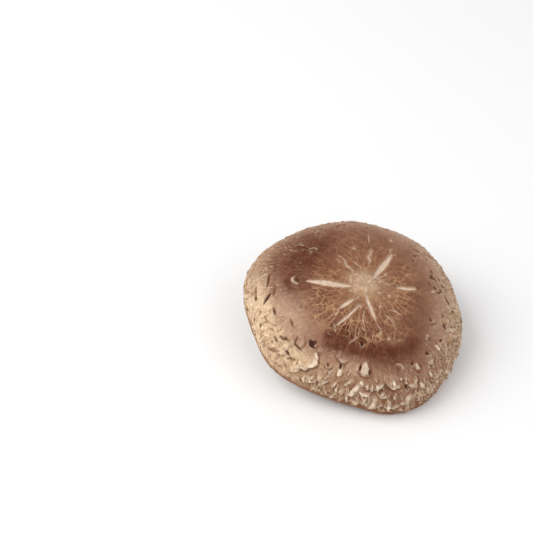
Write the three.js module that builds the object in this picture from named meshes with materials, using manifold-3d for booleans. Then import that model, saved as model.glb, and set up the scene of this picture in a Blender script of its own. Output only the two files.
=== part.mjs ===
// A fresh shiitake mushroom with a trimmed stem.
// It rests cap up on the cut of its stem and the low side of its rim.
// Millimetres, +Z up, origin on the surface that it rests on, under the middle of its outline.
// Cap, gills and stem are shaped about the cap's own axis, with the widest ring of the rim at height 0.
// The whole mushroom then leans over until the rim and the stem's cut both meet the surface.
import * as THREE from "three";
import { mergeVertices } from "three/addons/utils/BufferGeometryUtils.js";
import Module from "manifold-3d";

const wasm = await Module();
wasm.setup();

// Pose
const LEAN = 14; // degrees between the cap's axis and the vertical
const LEAN_AZIMUTH = -60; // degrees from +X, the way the cap leans
const AXIS_PLACE = [0.73, 1.0]; // x and y of the cap's axis at its widest ring, which centres the outline
const EDGE_PRESSED = 0.3; // how far the soft edge is pressed flat where it rests

// Cap
const CAP_RADIUS = 39.1;
const CROWN_HEIGHT = 18.5; // top of the crown above the widest ring
const CROWN_POWER = 2.42; // an ellipse has 2, and more is a flatter crown with steeper flanks
const RIM_LOBES = [
  // waves round the rim, height as a share of the radius, azimuth of a crest in degrees
  { waves: 2, share: 0.026, azimuth: -34 },
  { waves: 3, share: 0.027, azimuth: 57 },
  { waves: 4, share: 0.008, azimuth: 41 },
  { waves: 5, share: 0.014, azimuth: 9 },
  { waves: 6, share: 0.012, azimuth: -13 },
];
const CROWN_RINGS = [2.5, 5, 8, 10.5, 13, 15.5, 18, 20.5, 23, 26, 29, 32, 34.6, 36.6, 38.2]; // radii
const SWELL_HEIGHT = 0.35; // slow rise and fall of the skin
const EDGE_ROLL = 1.7; // radius of the rolled-in edge, measured level
const EDGE_DROP = 3; // depth of the rolled-in edge below the widest ring
const EDGE_TURNS = [0, 30, 65, 100, 135]; // degrees round the roll, from the widest ring inwards
const FLESH_AT_AXIS = 9;
const FLESH_AT_EDGE = 3.2;
const FLESH_RINGS = [0, 12, 21, 28, 33.8]; // radii of the flesh's underside
const EDGE_WALL_TOP = 3.2; // height at which the flesh turns down into the edge
const CAP_COLUMNS = 80;

// Open cracks of the star on the crown: radius and azimuth in degrees at start and end, and full width
const CRACKS = [
  { radii: [4.3, 20.2], azimuths: [196, 178], width: 2.4 },
  { radii: [3.4, 18.9], azimuths: [50, 55], width: 2.3 },
  { radii: [11.3, 18.8], azimuths: [0, 3], width: 2 },
  { radii: [2.5, 15.4], azimuths: [-80, -76], width: 1.8 },
  { radii: [7.6, 14], azimuths: [-122, -130], width: 1.8 },
  { radii: [9.5, 20.6], azimuths: [-107, -121], width: 1.7 },
  { radii: [9.5, 17.3], azimuths: [79, 80], width: 1.6 },
  { radii: [6.1, 12.7], azimuths: [128, 123], width: 1.6 },
];
const CRACK_DEPTH = 0.9;
const CRACK_CLEARANCE = 0.7; // how far the solid that cuts a crack reaches out of the skin
const CRACK_STEPS = 6;
const WRINKLE_DEPTH = 0.45; // fine radial wrinkles round the star
const WRINKLES = 20;

// Scales of torn skin on the flanks: thin shingles with the inner edge sunk in and the outer edge lifted
const SCALES = 95;
const SCALE_BAND = [0.49, 0.93]; // along the crown's curve, from 0 at the top to 1 at the widest ring
const SCALE_RADIUS = [1.7, 2.9]; // at the back and at the front
const SCALE_FRONT = -85; // azimuth in degrees round which the scales are largest and closest
const SCALE_CROWDING = 0.3; // 0 spreads them evenly round the cap
const SCALE_THICKNESS = 1.9;
const SCALE_LIFT = 13; // degrees that a shingle is tipped up from the skin
const SCALE_SUNK = 0.25; // depth of its inner edge under the skin
const SCALE_TAPER = 0.8; // its top against its base
const SCALE_SIDES = 7;

// Gills
const GILLS = 112; // at the rim: a quarter reach the stem, a quarter stop half way, the rest are short
const HALF_GILL_START = 13;
const SHORT_GILL_START = 22;
const GILL_RAMP = 5; // length over which a partial gill comes down to full depth
const GILL_DEPTH = 4.6;
const GILL_BACKING = 1; // tissue between the gills and the flesh
const GILL_RINGS = [9, 13.5, 18, 22.5, 28, 34, 41]; // radii, the last of them outside the hollow

// Stem
const STEM_RADIUS = 6.9;
const STEM_FLARE = 1.7; // extra radius where it spreads into the flesh
const STEM_FOOT_SWELL = 0.9; // extra radius at the cut
const STEM_HEIGHTS = [-20, -14, -11, -8, -5, -2, 1, 4, 6.5, 8.5]; // the first is below the cut
const STEM_BEND = 3.5; // how far the foot swings away from the low side
const STEM_FIBRES = 9;
const FIBRE_HEIGHT = 0.28;
const STEM_COLUMNS = 36;

const GAP = 0.3; // left between neighbouring pieces
const GROUND = [160, 160, 40]; // block under the mushroom that cuts it off level

const rad = THREE.MathUtils.degToRad;
const smooth = THREE.MathUtils.smoothstep;

// Repeatable number from 0 to 1 for a seed.
function draw(seed) {
  const wave = Math.sin(seed * 12.9898 + 4.1414) * 43758.5453;
  return wave - Math.floor(wave);
}

// Share by which the rim's lobes stretch the cap at an azimuth.
function lobeAt(azimuth) {
  return RIM_LOBES.reduce((sum, l) => sum + l.share * Math.cos(l.waves * (azimuth - rad(l.azimuth))), 1);
}

// Height of the crown's skin over a radius, on a cap with no lobes.
function crownHeight(radius) {
  return CROWN_HEIGHT * Math.sqrt(Math.max(0, 1 - (radius / CAP_RADIUS) ** CROWN_POWER));
}

// Height of the underside of the flesh over a radius.
function fleshHeight(radius) {
  const inward = 1 - (radius / CAP_RADIUS) ** 2;
  return crownHeight(radius) - FLESH_AT_EDGE - (FLESH_AT_AXIS - FLESH_AT_EDGE) * inward;
}

// Point of the crown's skin, from 0 at the top to 1 at the widest ring.
function crownPoint(along, azimuth) {
  const turn = (along * Math.PI) / 2;
  const radius = CAP_RADIUS * Math.sin(turn) ** (2 / CROWN_POWER) * lobeAt(azimuth);
  return new THREE.Vector3(
    radius * Math.cos(azimuth),
    radius * Math.sin(azimuth),
    CROWN_HEIGHT * Math.cos(turn),
  );
}

// Closed geometry as a solid: its shared vertices merged and its empty triangles dropped.
function solidOf(geometry) {
  const bare = geometry.clone();
  bare.deleteAttribute("normal");
  bare.deleteAttribute("uv");
  const merged = mergeVertices(bare, 1e-4);
  const corners = [];
  for (let i = 0; i < merged.index.count; i += 3) {
    const [a, b, c] = [merged.index.getX(i), merged.index.getX(i + 1), merged.index.getX(i + 2)];
    if (a !== b && b !== c && a !== c) corners.push(a, b, c);
  }
  return new wasm.Manifold(
    new wasm.Mesh({
      numProp: 3,
      vertProperties: merged.attributes.position.array,
      triVerts: new Uint32Array(corners),
    }),
  );
}

// Solid as a named three.js mesh.
function meshOf(name, solid, material) {
  const { vertProperties, triVerts } = solid.getMesh();
  const geometry = new THREE.BufferGeometry();
  geometry.setAttribute("position", new THREE.BufferAttribute(vertProperties, 3));
  geometry.setIndex(new THREE.BufferAttribute(triVerts, 1));
  geometry.computeVertexNormals();
  const mesh = new THREE.Mesh(geometry, material);
  mesh.name = name;
  return mesh;
}

// Profile of [radius, height] pairs turned about +Z, with shared vertices merged.
function turned(profile, columns) {
  const lathe = new THREE.LatheGeometry(
    profile.map(([radius, height]) => new THREE.Vector2(radius, height)),
    columns,
  ).rotateX(Math.PI / 2);
  lathe.deleteAttribute("normal");
  lathe.deleteAttribute("uv");
  return mergeVertices(lathe, 1e-4);
}

// Moves every vertex of a geometry by a function that changes the point it is given.
function reshaped(geometry, change) {
  const position = geometry.attributes.position;
  const point = new THREE.Vector3();
  for (let i = 0; i < position.count; i++) {
    point.fromBufferAttribute(position, i);
    change(point, i);
    position.setXYZ(i, point.x, point.y, point.z);
  }
  return geometry;
}

// Stretches a turned shape out to the rim's lobes.
function lobed(geometry) {
  return reshaped(geometry, (p) => {
    const share = lobeAt(Math.atan2(p.y, p.x));
    p.x *= share;
    p.y *= share;
  });
}

// The hollow under the flesh as a profile from the axis out and down to the rim's edge, drawn in by a gap.
function hollowProfile(gap) {
  const wall = CAP_RADIUS - 2 * EDGE_ROLL - gap;
  const under = FLESH_RINGS.map((radius) => [radius, fleshHeight(radius) - gap]);
  return [...under, [wall, EDGE_WALL_TOP - gap], [wall + 0.1, -EDGE_DROP / 2]];
}

// How far the crown's skin stands above its smooth form at a point: slow swells and fine wrinkles.
function crownRelief(x, y) {
  const radius = Math.hypot(x, y);
  const azimuth = Math.atan2(y, x);
  const swell = SWELL_HEIGHT * smooth(radius, 8, 24) * Math.sin(3 * azimuth + 0.8) * Math.sin(radius / 7);
  const band = smooth(radius, 8, 13) * (1 - smooth(radius, 21, 25));
  const ripple = Math.cos(WRINKLES * azimuth + 1.4 * Math.sin(radius / 3));
  return swell - WRINKLE_DEPTH * band * Math.max(0, ripple) ** 2;
}

// The solid that an open crack takes out: a wedge along the skin, narrowed to a point at both ends.
function crackSolid({ radii, azimuths, width }) {
  const halfWidth = ((width / 2) * (CRACK_DEPTH + CRACK_CLEARANCE)) / CRACK_DEPTH;
  const wedge = new THREE.CylinderGeometry(1, 1, 1, 3, CRACK_STEPS, true);
  reshaped(wedge, (p) => {
    const share = p.y + 0.5;
    const opening = Math.sin(Math.PI * share) ** 0.7;
    const radius = THREE.MathUtils.lerp(...radii, share);
    const azimuth = rad(THREE.MathUtils.lerp(...azimuths, share));
    const across = Math.sign(Math.round(p.x)) * halfWidth * opening;
    const x = radius * Math.cos(azimuth) - across * Math.sin(azimuth);
    const y = radius * Math.sin(azimuth) + across * Math.cos(azimuth);
    const skin = crownHeight(radius / lobeAt(azimuth)) + crownRelief(x, y);
    p.set(x, y, skin + opening * (p.z > 0 ? -CRACK_DEPTH : CRACK_CLEARANCE));
  });
  return solidOf(wedge);
}

// One scale of torn skin: an uneven low disc, tipped about its inner edge.
function scaleSolid(along, azimuth, radius, seed) {
  const place = crownPoint(along, azimuth);
  const outward = crownPoint(along + 0.01, azimuth).sub(place).normalize();
  const across = new THREE.Vector3(-Math.sin(azimuth), Math.cos(azimuth), 0);
  const up = new THREE.Vector3().crossVectors(outward, across).normalize();
  across.crossVectors(up, outward);
  const disc = new THREE.CylinderGeometry(SCALE_TAPER * radius, radius, SCALE_THICKNESS, SCALE_SIDES)
    .rotateX(Math.PI / 2)
    .translate(0, 0, -SCALE_THICKNESS / 2);
  reshaped(disc, (p) => {
    const side = Math.atan2(p.y, p.x);
    const oval = 0.2 * Math.cos(2 * side + 6 * draw(seed + 0.1));
    const corners = 0.14 * Math.cos(3 * side + 6 * draw(seed + 0.2));
    p.x *= 0.9 * (1 + oval + corners);
    p.y *= 1.15 * (1 + oval + corners);
  });
  disc
    .rotateZ(draw(seed + 0.9) - 0.5)
    .translate(radius, 0, 0)
    .rotateY(-rad(SCALE_LIFT))
    .translate(-radius, 0, -SCALE_SUNK);
  disc.applyMatrix4(new THREE.Matrix4().makeBasis(outward, across, up).setPosition(place));
  return solidOf(disc);
}

function makeCap() {
  const crown = CROWN_RINGS.map((radius) => [radius, crownHeight(radius)]);
  const edge = EDGE_TURNS.map((turn) => [
    CAP_RADIUS - EDGE_ROLL + EDGE_ROLL * Math.cos(rad(turn)),
    -EDGE_DROP * Math.sin(rad(turn)),
  ]);
  const profile = [[0, CROWN_HEIGHT], ...crown, ...edge, ...hollowProfile(0).reverse()].reverse();
  const form = lobed(turned(profile, CAP_COLUMNS));
  form.computeVertexNormals();
  const normal = new THREE.Vector3();
  reshaped(form, (p, i) => {
    normal.fromBufferAttribute(form.attributes.normal, i);
    if (normal.z > 0 && p.z > 4) p.addScaledVector(normal, crownRelief(p.x, p.y));
  });
  let cap = solidOf(form);
  for (const crack of CRACKS) cap = cap.subtract(crackSolid(crack));
  const golden = Math.PI * (3 - Math.sqrt(5));
  for (let i = 0; i < SCALES; i++) {
    const share = (i + 0.5 + 3 * (draw(i) - 0.5)) / SCALES;
    const fromFront = i * golden + 0.3 * (draw(i + 0.3) - 0.5);
    const azimuth = rad(SCALE_FRONT) + fromFront - SCALE_CROWDING * Math.sin(fromFront);
    const size = THREE.MathUtils.lerp(...SCALE_RADIUS, 0.5 + 0.5 * Math.cos(fromFront));
    const along = THREE.MathUtils.lerp(...SCALE_BAND, share);
    cap = cap.add(scaleSolid(along, azimuth, size * (0.8 + 0.4 * draw(i + 0.6)), i));
  }
  return cap;
}

// Depth of a gill below its backing: full from its start outwards, and shallow again by the rim.
function gillDepth(radius, kind) {
  const start = { full: 0, half: HALF_GILL_START, short: SHORT_GILL_START }[kind];
  const grown = start ? smooth(radius, start, start + GILL_RAMP) : 1;
  const profile = 0.72 + 0.28 * smooth(radius, 6, 18) - 0.6 * smooth(radius, 29, 37);
  return GILL_DEPTH * grown * profile;
}

// The gills: a disc with its lower face in pleats, cut to the hollow under the flesh and bored for the stem.
function makeGills(stemRoom) {
  const columns = 2 * GILLS;
  const backing = (radius) => fleshHeight(Math.min(radius, CAP_RADIUS - EDGE_ROLL)) - GAP - GILL_BACKING;
  const above = 1.2 * CROWN_HEIGHT;
  const outer = GILL_RINGS.at(-1);
  const profile = [[0, backing(0)], ...GILL_RINGS.map((r) => [r, backing(r)]), [outer, above], [0, above]];
  const pleats = turned(profile, columns);
  reshaped(pleats, (p) => {
    const radius = Math.hypot(p.x, p.y);
    const column = Math.round((Math.atan2(p.y, p.x) / (2 * Math.PI)) * columns + columns) % columns;
    const gill = (column - 1) / 2;
    if (p.z > CROWN_HEIGHT || radius < 1 || column % 2 === 0) return;
    const kind = gill % 4 === 0 ? "full" : gill % 4 === 2 ? "half" : "short";
    p.z -= gillDepth(radius, kind);
  });
  const hollow = hollowProfile(GAP);
  const below = -2 * EDGE_DROP;
  const room = lobed(turned([[0, below], [hollow.at(-1)[0], below], ...hollow.reverse()], CAP_COLUMNS));
  return solidOf(lobed(pleats)).intersect(solidOf(room)).subtract(stemRoom);
}

// The stem, thicker by a margin where a clearance for it is wanted.
function makeStem(margin) {
  const top = fleshHeight(0) - GAP + margin;
  const radiusAt = (z) =>
    STEM_RADIUS + STEM_FLARE * smooth(z, 2, 9) ** 2 + STEM_FOOT_SWELL * (1 - smooth(z, -13, -4)) + margin;
  const side = [...STEM_HEIGHTS, top].map((z) => [radiusAt(z), z]);
  const profile = [[0, STEM_HEIGHTS[0]], ...side, [0, top]];
  const uphill = rad(LEAN_AZIMUTH + 180);
  return solidOf(
    reshaped(turned(profile, STEM_COLUMNS), (p) => {
      const azimuth = Math.atan2(p.y, p.x);
      const fibre = FIBRE_HEIGHT * Math.sin(STEM_FIBRES * azimuth + 1.2 * Math.sin(p.z / 5));
      const share = 1 + (Math.hypot(p.x, p.y) > 1 && margin === 0 ? fibre / STEM_RADIUS : 0);
      const swing = STEM_BEND * smooth(-p.z, -8, 14);
      p.x = p.x * share + swing * Math.cos(uphill);
      p.y = p.y * share + swing * Math.sin(uphill);
    }),
  );
}

// Lowest point of a solid once the mushroom leans.
function lowestPoint(solid, lean) {
  const vertices = solid.getMesh().vertProperties;
  const point = new THREE.Vector3();
  let lowest = Infinity;
  for (let i = 0; i < vertices.length; i += 3) {
    lowest = Math.min(lowest, point.fromArray(vertices, i).applyQuaternion(lean).z);
  }
  return lowest;
}

const capMaterial = new THREE.MeshStandardMaterial({ color: 0x8a6148, roughness: 0.72, metalness: 0 });
const gillMaterial = new THREE.MeshStandardMaterial({ color: 0xeee2cb, roughness: 0.8, metalness: 0 });
const stemMaterial = new THREE.MeshStandardMaterial({ color: 0xd8ba96, roughness: 0.85, metalness: 0 });

const cap = makeCap();
const leanAxis = new THREE.Vector3(-Math.sin(rad(LEAN_AZIMUTH)), Math.cos(rad(LEAN_AZIMUTH)), 0);
const mushroom = new THREE.Group();
mushroom.quaternion.setFromAxisAngle(leanAxis, rad(LEAN));
mushroom.position.set(...AXIS_PLACE, -lowestPoint(cap, mushroom.quaternion) - EDGE_PRESSED);
mushroom.updateMatrix();

// The ground under the leaning mushroom, in the cap's own frame, which flattens what rests on it.
const block = new THREE.BoxGeometry(...GROUND).translate(0, 0, -GROUND[2] / 2);
const ground = solidOf(block.applyMatrix4(mushroom.matrix.clone().invert()));

mushroom.add(
  meshOf("cap", cap.subtract(ground), capMaterial),
  meshOf("gills", makeGills(makeStem(GAP + FIBRE_HEIGHT)), gillMaterial),
  meshOf("stem", makeStem(0).subtract(ground), stemMaterial),
);

export default mushroom;
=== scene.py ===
"""A fresh shiitake mushroom, cap up, resting on the cut of its stem and the low side of its rim.

The cap is worked out on a grid of two numbers: s, the arc length in millimetres from the middle of the crown down
over the skin, and az, the azimuth about the cap's axis. Millimetres are turned to metres when a mesh is made.
"""

import math

import bpy
import numpy as np
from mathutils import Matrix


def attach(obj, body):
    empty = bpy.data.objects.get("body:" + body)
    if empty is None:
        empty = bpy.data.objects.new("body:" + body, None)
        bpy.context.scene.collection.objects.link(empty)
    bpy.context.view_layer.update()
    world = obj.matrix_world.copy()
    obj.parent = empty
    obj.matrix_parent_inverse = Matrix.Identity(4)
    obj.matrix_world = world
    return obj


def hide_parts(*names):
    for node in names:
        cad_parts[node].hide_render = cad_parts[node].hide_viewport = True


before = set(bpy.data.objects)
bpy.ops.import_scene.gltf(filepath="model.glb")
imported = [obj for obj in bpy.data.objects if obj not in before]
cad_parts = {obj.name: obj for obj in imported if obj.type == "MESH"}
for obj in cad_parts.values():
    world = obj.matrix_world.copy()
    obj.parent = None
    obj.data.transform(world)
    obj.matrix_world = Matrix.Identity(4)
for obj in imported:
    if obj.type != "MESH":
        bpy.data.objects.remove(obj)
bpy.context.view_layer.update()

# Lengths are in mm, but for those in materials and of the lights, which are in metres.
# Pose, as in the part: the cap's axis leans, and its widest ring has its middle here.
LEAN = math.radians(14)
LEAN_AZIMUTH = math.radians(-60)
RING_CENTRE = np.array([0.73, 1.0, 12.148])

# Cap. Each wave of its rim is a number of crests, a share of the radius, and the azimuth of one crest.
CAP_RADIUS = 39.1
CROWN_HEIGHT = 18.5
CROWN_POWER = 2.42
RIM_LOBES = ((2, 0.026, -34), (3, 0.027, 57), (4, 0.008, 41), (5, 0.014, 9), (6, 0.012, -13))
EDGE_ROLL = 1.7
EDGE_DROP = 3.0
EDGE_TURN = math.radians(135)
FLESH_AT_AXIS = 9.0
FLESH_AT_EDGE = 3.2
FLESH_RADIUS = 33.8
CAP_COLUMNS = 600
SKIN_STEP = 0.36
CROWN_STEPS = 1500
ROLL_STEPS = 240
# Mean radius of the flank, over which a step round it is turned to an angle.
FLANK_RADIUS = 38
# Arc length at which the scattered shreds end, short of the rim.
SHRED_END = 48.5
# The middle of the crown's own bump, on the skin laid flat.
BUMP_X, BUMP_Y = -2.6, 1.7
# How many times the way down the skin is squeezed in the attribute ray, so that noise over it makes strands.
RAY_SQUEEZE = 5

# Gills and stem
GILLS = 232
GILL_RADII = (8.2, 34.9)
GILL_DEPTH = 4.5
STEM_RADIUS = 6.9
STEM_FLARE = 1.7
STEM_FOOT_SWELL = 0.9
STEM_BEND = 3.5
STEM_END = -19
CUT_HOLLOW = 0.13
# Gap between the tissues, as in the part, and how far loose fibres stay above the surface.
GAP = 0.3
FIBRE_CLEARANCE = 0.3

# Open cracks of the star: full width in mm, then s in mm and azimuth in degrees of each point along it.
CRACKS = (
    (2.1, 4.6, -164, 8.5, -172, 13.5, -179, 20, -182), (1.9, 3.6, 40, 8, 49, 13, 52, 18.8, 55),
    (1.15, 11.3, 0, 15.5, 1, 19.4, 3), (1.15, 3.4, -86, 7, -82, 11, -78, 14.8, -76),
    (1.3, 7.4, -120, 10.8, -127, 14.4, -131), (0.95, 8.6, -100, 12, -109, 16, -115, 21.6, -122),
    (0.45, 9, 80, 11, 77, 12.6, 82, 14.4, 79, 17.8, 79), (0.5, 5.8, 128, 8, 126, 10, 129, 13.2, 123),
)
# Hairline cracks, the same way.
HAIRLINES = (
    (0.5, 0.6, -60, 2.2, -86, 4, -84), (0.55, 0.4, 20, 1.8, 38, 3.4, 47), (0.45, 18.6, 55, 20.2, 60, 21.6, 58),
    (0.4, 18.4, 54, 20, 51), (0.4, 19.6, 82, 22.5, 83, 25.6, 83), (0.45, 10.6, 110, 8.4, 104, 7, 95),
    (0.4, 12, 133, 14.8, 132), (0.4, 5.2, 36, 6.4, 22, 7.6, 10, 9, 6), (0.4, 4.6, 40, 6.8, 33, 9.2, 30),
    (0.6, 2.4, -150, 3.6, -160, 4.6, -162), (0.45, 6, -112, 8, -116), (0.4, 15.4, -76, 17.4, -73, 19.6, -76),
    (0.45, 21.4, -121, 23, -118), (0.45, 14.2, -131, 16, -128, 18.4, -131), (0.35, 13, 123, 15.2, 126),
    (0.38, 19.8, -96, 22.4, -98, 25.2, -103), (0.4, 12.6, -60, 15.6, -56, 18.6, -58),
    (0.35, 12.4, -48, 14.6, -42, 17, -42), (0.4, 11.6, -92, 14.6, -94, 18.4, -90),
)
# Pale dots on the crown: s, azimuth.
DOTS = (
    (2.7, 138), (2.7, -9), (4.4, -88), (5.8, -146), (6.1, -32), (9.3, 33), (5.9, 15), (9.7, -58), (10.3, -99),
    (9.5, -25), (25.9, 64), (16.5, 101), (21, -68),
)
# Torn flaps: s, azimuth, radius along, radius across, height, paleness, and the turn of the torn edge from the way
# down the skin towards larger azimuths, in degrees.
FLAPS = (
    (35.9, -127, 4.4, 4.4, 0.95, 1, 70), (36, -84.5, 2.9, 3.9, 1, 1, 8), (39.6, -112, 2.4, 2.3, 0.8, 0.8, -10),
    (35.8, -72.8, 2.1, 2.4, 0.7, 0.9, -15), (35.8, -62.8, 2.7, 2.3, 0.9, 0.95, 25), (43, -85, 3, 4.4, 0.8, 1, 0),
    (43, -75.5, 2.2, 2.8, 0.7, 0.95, 0), (40.7, -67, 2.7, 3.3, 0.9, 0.95, 30), (36, -34, 1.7, 2.9, 0.75, 0.9, 10),
    (33.4, -46.6, 1.9, 1.3, 0.7, 0.8, 0), (42, -119, 2.2, 2.6, 0.45, 0.6, 20), (40.9, -129.5, 2, 2.2, 0.4, 0.5, 40),
    (45.6, -66, 2, 2.6, 0.5, 0.75, 15), (41.4, -57, 1.9, 2.2, 0.55, 0.8, 15), (39.6, -45, 1.8, 2.2, 0.5, 0.75, 15),
    (42, -28, 1.8, 2.4, 0.45, 0.7, 15), (37.6, -13, 1.8, 2.6, 0.45, 0.6, 20), (34.8, -112, 1.6, 1.5, 0.5, 0.4, 0),
    (32.6, -136, 2, 2.4, 0.35, 0.25, 100), (38.2, -141, 2.2, 2.6, 0.35, 0.3, 80), (31, -104, 2, 1.8, 0.35, 0.35, 0),
    (40.2, -88.5, 1.7, 2, 0.6, 0.95, 0), (39.6, -78.5, 1.7, 2, 0.55, 0.9, 0),
)
# Small torn tufts that stand up, pale on top: s, azimuth, radius, height, paleness.
TUFTS = (
    (30.5, -125.4, 0.6, 0.5, 0.35), (32.3, -89.2, 1.8, 1, 1), (36.2, -104.2, 0.95, 0.6, 1),
    (35.7, -72.5, 0.75, 0.55, 1), (34.6, -68.2, 0.65, 0.5, 1), (32.5, -56, 1.15, 0.8, 1),
    (33.5, -36.5, 0.95, 0.5, 0.9), (37.7, -50, 0.95, 0.5, 0.9), (42.3, -54.5, 1, 0.45, 0.9),
    (44.2, -37.5, 0.85, 0.4, 0.8), (26.1, 3.5, 0.6, 0.25, 0.9), (27.8, -22.5, 0.6, 0.25, 0.6),
    (37.4, -90.5, 0.7, 0.45, 0.95), (38.8, -57.5, 0.7, 0.4, 0.85),
)
# Shreds of torn skin: full width at the tip, paleness, then s and azimuth of each point from root to torn tip.
SHREDS = (
    (1, 1, 36.4, -95.5, 38.4, -97.2, 40.1, -99.5), (2.3, 0.9, 36.6, -91, 39.6, -92.6, 42.5, -95),
    (1.1, 1, 40.6, -97, 43.6, -97.2, 46.3, -96.5), (1.5, 0.9, 42.6, -102, 47.1, -105),
    (1.2, 0.9, 44.3, -98, 48.6, -101), (1.6, 1, 43.3, -88.5, 47.2, -92.5),
    (2.2, 0.9, 40.5, -82, 43.5, -83, 46.8, -84.5), (1.5, 1, 40.8, -75.5, 46.2, -75.5),
    (1.3, 0.9, 43.5, -69, 44.9, -73.5), (2, 0.7, 39.8, -63.5, 43.2, -69), (1, 0.9, 38, -77, 40.7, -80),
    (1.2, 0.9, 46.2, -117, 45.8, -112), (1.2, 0.8, 40, -108, 43, -113), (0.9, 0.8, 48, -94, 48.2, -88),
    (0.9, 0.7, 39.1, -86, 44.7, -85.5), (0.8, 0.8, 40.8, -91.5, 43.5, -88), (1.3, 0.8, 42.2, -65, 46.6, -67),
    (0.9, 0.7, 42.4, -111, 46.1, -108), (1, 0.8, 47.3, -81, 46.3, -77.5), (0.6, 1, 36, -89.5, 38.5, -90.2),
    (0.7, 1, 36.4, -87, 39, -87.4), (0.8, 1, 36.2, -84.5, 39.2, -84.6), (0.7, 1, 36, -82, 38.8, -81.6),
    (0.5, 0.9, 35.6, -80, 38, -78.6), (0.5, 0.9, 34.8, -74.2, 37, -74.8), (0.7, 0.8, 33.6, -97.5, 36, -99),
    (0.8, 0.8, 35, -107.5, 37.6, -110), (0.8, 0.9, 37.2, -108, 39.8, -111), (0.5, 0.7, 34.2, -82.5, 35.8, -82.2),
    (0.7, 0.9, 38.6, -72, 41, -73), (0.6, 0.8, 33.8, -64.5, 36.2, -66), (0.9, 0.8, 38.2, -60, 40.6, -62.5),
    (1.2, 0.9, 38.6, -103, 42, -106),
)
# Warts: s, azimuth, radius, height, pit depth, paleness, and the direction of the pale side from the way down.
WARTS = (
    (22.9, 176.5, 1.9, 0.28, 0.55, 0.75, 15), (28.4, 142, 1.5, 0.3, 0.12, 0.65, -60),
    (22.8, 140, 1.6, 0.3, 0.12, 0.6, -60), (24.6, -156, 1.4, 0.22, 0.2, 0.25, 40),
    (28.9, -37.5, 1.3, 0.4, 0.35, 0.6, 180), (31.1, -68, 1.8, 0.65, 0.35, 0.55, 120),
    (24, -122, 0.9, 0.2, 0.2, 0.3, 0),
)
# Dark slits and pits: full width, depth, then s and azimuth of each point along it.
SLITS = (
    (0.6, 0.4, 32.6, 170, 33.8, 179), (0.95, 0.6, 33.2, -175.5, 35, -173.4, 36.8, -171),
    (0.45, 0.3, 38.1, 177, 39.1, -177), (0.9, 0.4, 39, -178, 39.3, -175.5), (0.45, 0.25, 30.6, 179.5, 32.2, -174),
    (0.85, 0.45, 33.8, -165.5, 34.1, -161), (0.35, 0.25, 38.2, -163.5, 38, -160, 37.2, -158),
    (0.25, 0.15, 37.2, -158, 35.6, -154), (0.35, 0.2, 29.8, -152.5, 30.5, -146),
    (0.6, 0.45, 36.3, -147.2, 35.9, -144, 35, -143.5, 34.7, -140.5), (0.65, 0.45, 38.3, -148.8, 38.2, -145.8),
    (0.45, 0.4, 42.6, -147.5, 41.6, -144, 41, -142.5), (0.55, 0.45, 31.8, -138.5, 33.9, -137.2, 34.4, -131),
    (0.8, 0.5, 37.9, -138.2, 38.3, -135.2), (0.5, 0.35, 38.8, -134.5, 38.9, -132.5, 38.3, -131),
    (0.5, 0.3, 41.9, -134.5, 42.6, -132.5), (1.9, 0.8, 29.9, -130.2, 30.6, -127.4, 30.9, -124.8),
    (0.8, 0.5, 29, -128, 29.6, -126), (0.35, 0.2, 29.6, -71, 28.8, -68.2, 29.5, -65.4),
    (0.6, 0.4, 29.6, 46.5, 31.2, 42.8), (0.75, 0.4, 26.4, 41.5, 26.9, 40.5), (0.6, 0.3, 23.6, 37.8, 24.4, 37),
    (0.45, 0.2, 19.2, 31.5, 19.6, 31), (0.55, 0.5, 33, 40.8, 35.2, 37, 37.4, 33.8),
    (0.75, 0.5, 27.4, 19.5, 28.3, 18, 29.8, 15), (0.5, 0.4, 28.3, 18, 28.6, 20.5), (0.45, 0.3, 25.2, 12.5, 25.6, 10),
    (1.05, 0.6, 27.3, 8.6, 27.9, 7.6), (0.85, 0.5, 31.6, 13, 32.2, 11), (0.6, 0.4, 29.8, 6.6, 30.3, 5.4),
    (0.7, 0.5, 32.4, 1.6, 33.8, -1.6), (0.9, 0.4, 34.4, -3.2, 35.8, -6.2), (0.75, 0.4, 26, -22.4, 26.7, -23.6),
    (0.8, 0.5, 31.6, -18.6, 33.2, -21.4), (0.28, 0.3, 34.7, -17.5, 38.4, -12.5, 42.6, -8),
    (0.8, 0.4, 33, -31.5, 33.5, -29.5), (0.7, 0.3, 38.8, -22.4, 39.4, -20.6), (0.85, 0.5, 31.2, -46.4, 32, -44.6),
    (1, 0.6, 41, -51, 42, -48), (0.7, 0.6, 30.6, -57.5, 31.6, -58.6), (0.6, 0.6, 33.2, -104.6, 35.2, -104.8),
    (0.6, 0.7, 31.4, -91.8, 33.4, -92.6), (0.6, 0.6, 32.4, -86.2, 34, -86.4), (0.95, 0.6, 23.2, -92.5, 24.7, -92.7),
    (0.8, 0.5, 34.6, -113, 35.6, -112), (0.6, 0.5, 37, -66.5, 38.4, -66), (0.6, 0.3, 30.8, 122, 31.4, 118),
    (0.4, 0.3, 33.2, 105, 33.6, 101), (0.35, 0.2, 26.8, 115, 27.1, 111), (0.45, 0.3, 26.9, 88, 27.1, 84),
    (0.4, 0.3, 36.6, 93, 36.8, 89), (0.4, 0.3, 38.6, 72, 38.7, 68),
)
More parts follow.
